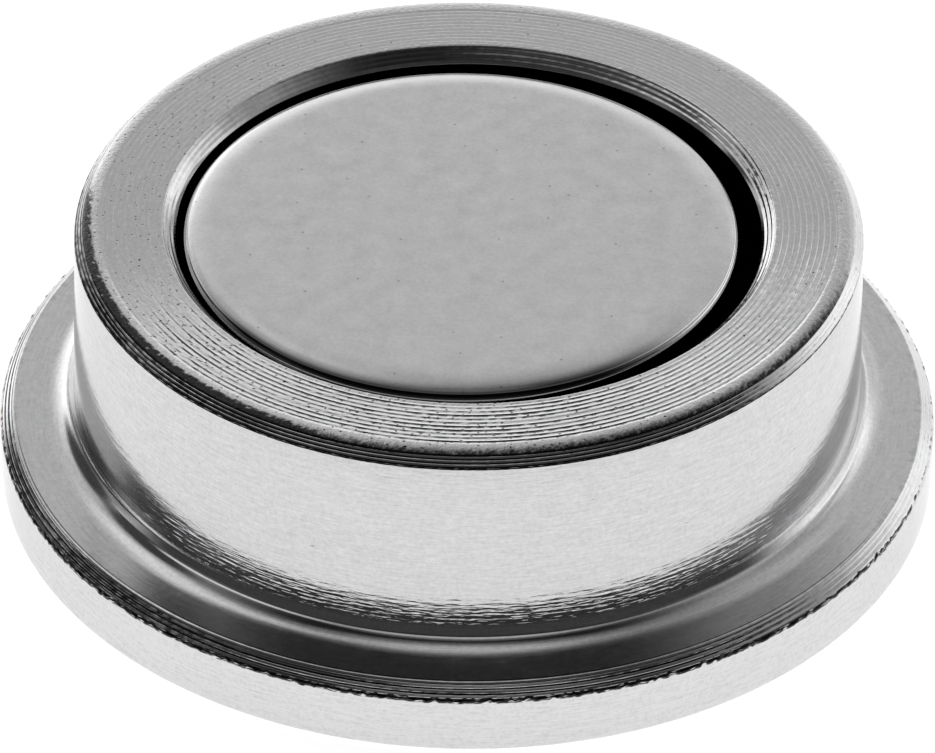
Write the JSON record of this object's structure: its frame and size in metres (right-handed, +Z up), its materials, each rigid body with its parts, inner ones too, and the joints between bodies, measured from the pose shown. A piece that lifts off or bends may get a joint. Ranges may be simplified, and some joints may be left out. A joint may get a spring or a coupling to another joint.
{
  "type": "disc magnet in a flanged steel pot",
  "caption": "Round disc magnet set in the face of a turned steel pot with a wide flange at its foot.",
  "frame": {"origin": "middle of the flange's flat underside", "axes": "+Z up along the pot's axis, towards the magnet's open face; +X to the right as pictured, +Y away from the camera"},
  "size_m": [0.0173, 0.0172, 0.0055],
  "materials": {
    "turned_steel": "bright turned, with fine tool marks",
    "nickel_plate": "satin nickel plate"
  },
  "bodies": {
    "root": {"steel_pot": "turned_steel", "disc_magnet": "nickel_plate"}
  },
  "joints": []
}
